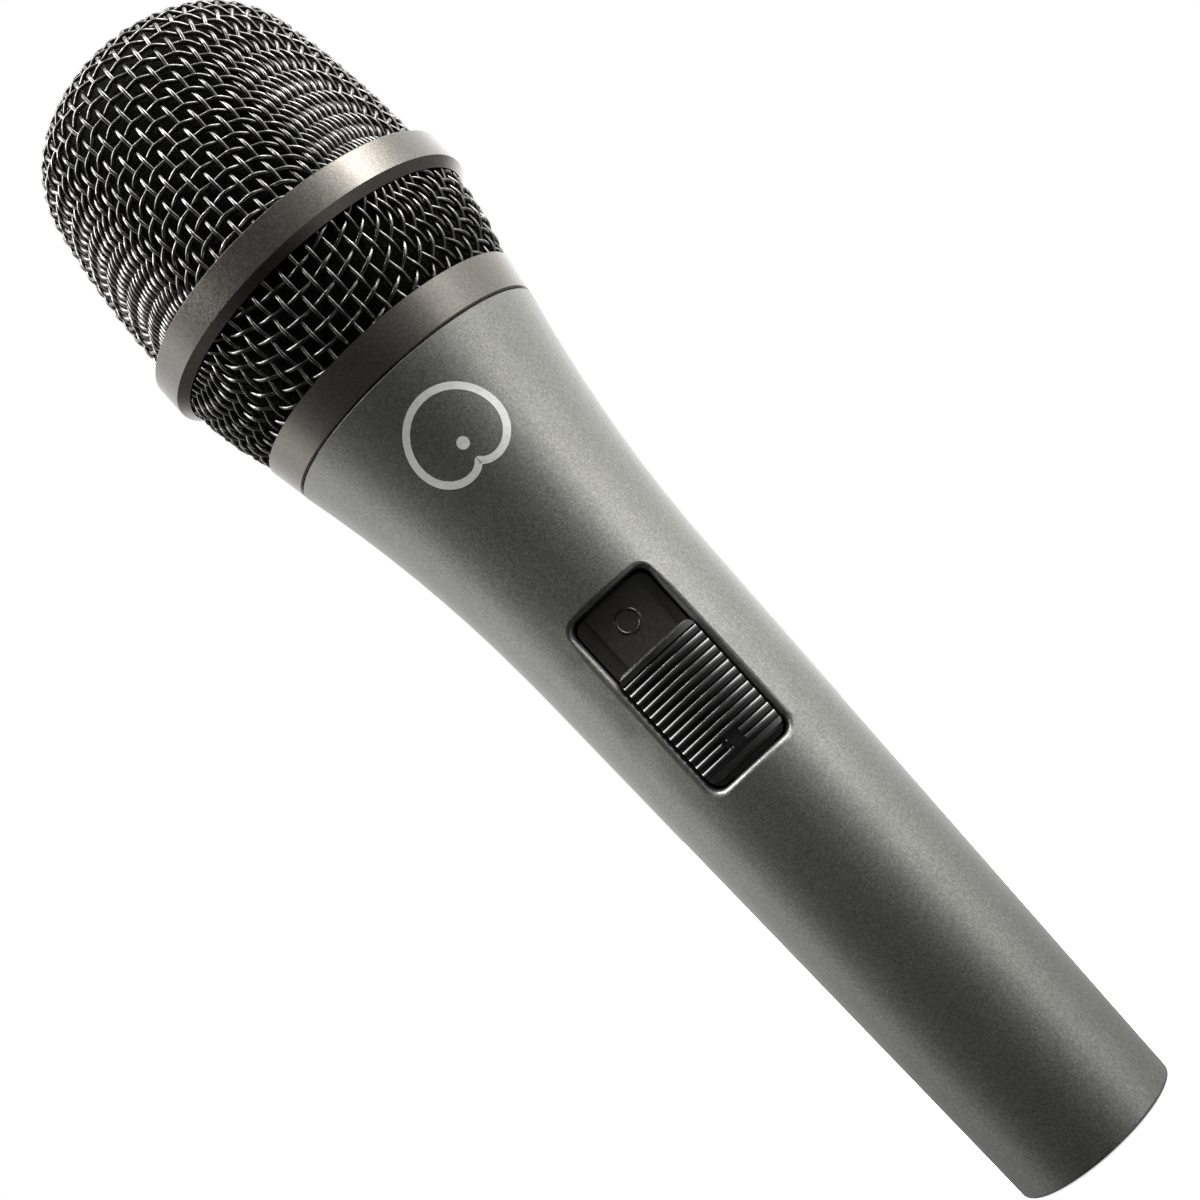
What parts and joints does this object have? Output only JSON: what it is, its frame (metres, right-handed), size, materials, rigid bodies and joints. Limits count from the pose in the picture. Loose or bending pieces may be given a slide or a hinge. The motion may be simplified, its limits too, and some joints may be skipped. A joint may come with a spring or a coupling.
{
  "type": "dynamic microphone",
  "caption": "Handheld dynamic vocal microphone: tapered metal handle with a slide switch, woven-wire ball grille on a screw collar, and a three-pin connector in the tail.",
  "frame": {"origin": "centre of the tail rim, on the plane that the microphone stands on", "axes": "+Z along the microphone's axis towards the head, -Y out of the switch, +X to the right when the switch faces the viewer"},
  "size_m": [0.051, 0.051, 0.1957],
  "materials": {
    "handle_paint": "satin metallic lacquer with a fine sparkle",
    "ring_paint": "satin metallic lacquer",
    "mesh_wire": "dark plated woven wire",
    "foam": "open-cell foam",
    "switch_plastic": "glossy moulding",
    "legend_plastic": "matt moulding with a printed legend",
    "insulator": "glass-filled moulding",
    "plated_contact": "silver-plated brass",
    "spring_brass": "rolled strip",
    "plated_steel": "nickel plate",
    "steel": "turned",
    "magnet_iron": "ground",
    "copper": "enamelled winding wire",
    "film": "clear polyester film",
    "screen_cloth": "fine acoustic cloth",
    "rubber": "moulded",
    "fibre": "vulcanised fibre",
    "lead_red": "wire insulation",
    "lead_blue": "wire insulation"
  },
  "bodies": {
    "handle": {"handle_body": "handle_paint", "connector_shell": "plated_steel", "connector_insert": "insulator", "connector_pins": "plated_contact", "connector_screw": "plated_steel", "ground_spring": "spring_brass", "switch_frame": "legend_plastic", "switch_housing": "insulator", "switch_screws": "plated_steel", "switch_terminals": "plated_contact", "switch_detent_spring": "spring_brass", "lead_connector_hot": "lead_red", "lead_connector_cold": "lead_blue", "lead_cartridge_hot": "lead_red", "lead_cartridge_cold": "lead_blue", "shock_mount": "rubber"},
    "switch_button": {"switch_slider": "switch_plastic", "switch_tongue": "switch_plastic", "contact_bridge": "spring_brass"},
    "cartridge": {"cartridge_housing": "insulator", "cartridge_cap": "insulator", "cartridge_screen": "screen_cloth", "cartridge_backplate": "insulator", "cartridge_terminals": "plated_contact", "magnet_yoke": "steel", "magnet": "magnet_iron", "pole_piece": "steel", "diaphragm_surround": "film"},
    "moving_coil": {"diaphragm": "film", "voice_coil": "copper"},
    "seal": {"grille_washer": "fibre"},
    "grille": {"grille_collar": "ring_paint", "grille_lower_mesh": "mesh_wire", "grille_belt_ring": "ring_paint", "grille_dome_mesh": "mesh_wire", "foam_band_liner": "foam", "foam_dome_liner": "foam"}
  },
  "joints": [
    {"name": "switch_slide", "type": "slide", "parent": "handle", "child": "switch_button", "axis": [0, 0, 1], "range_m": [0, 0.0079]},
    {"name": "cartridge_float", "type": "slide", "parent": "handle", "child": "cartridge", "axis": [0, 0, 1], "range_m": [-0.0008, 0.0008], "stiffness_N_per_m": 3000, "deforming": ["shock_mount"]},
    {"name": "diaphragm_stroke", "type": "slide", "parent": "cartridge", "child": "moving_coil", "axis": [0, 0, 1], "range_m": [-0.0003, 0.0003], "stiffness_N_per_m": 800, "deforming": ["diaphragm_surround"]},
    {"name": "grille_lift", "type": "slide", "parent": "handle", "child": "seal", "axis": [0, 0, 1], "range_m": [0, 0.0051]},
    {"name": "grille_unscrew", "type": "hinge", "parent": "seal", "child": "grille", "pos_m": [0, 0, 0], "axis": [0, 0, 1], "range_deg": [0, 1800]}
  ],
  "couplings": [
    {"joint": "grille_lift", "follows": "grille_unscrew", "m_per_rad": 0.00015915}
  ]
}
